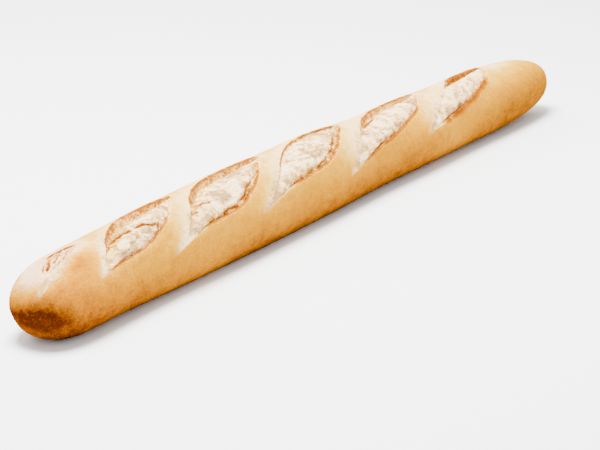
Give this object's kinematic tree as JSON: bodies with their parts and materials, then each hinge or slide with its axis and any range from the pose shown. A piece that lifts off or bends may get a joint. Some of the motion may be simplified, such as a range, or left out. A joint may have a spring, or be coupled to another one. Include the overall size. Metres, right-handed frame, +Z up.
{
  "type": "baguette",
  "caption": "Long white loaf with a golden crust, rounded ends, a flat baked base and slanting slashes that opened over its crest in the oven.",
  "frame": {"origin": "on the surface that the loaf lies on, under the middle of its box", "axes": "+X along the loaf, from its blunter end to its more tapered end; +Y towards its outward-bowed back; +Z up through the crest"},
  "size_m": [0.6, 0.065, 0.0522],
  "materials": {
    "crust": "dry baked crust, golden at the sides, pale and floury in the opened slashes, toasted along their torn lips"
  },
  "bodies": {
    "root": {"loaf": "crust"}
  },
  "joints": []
}
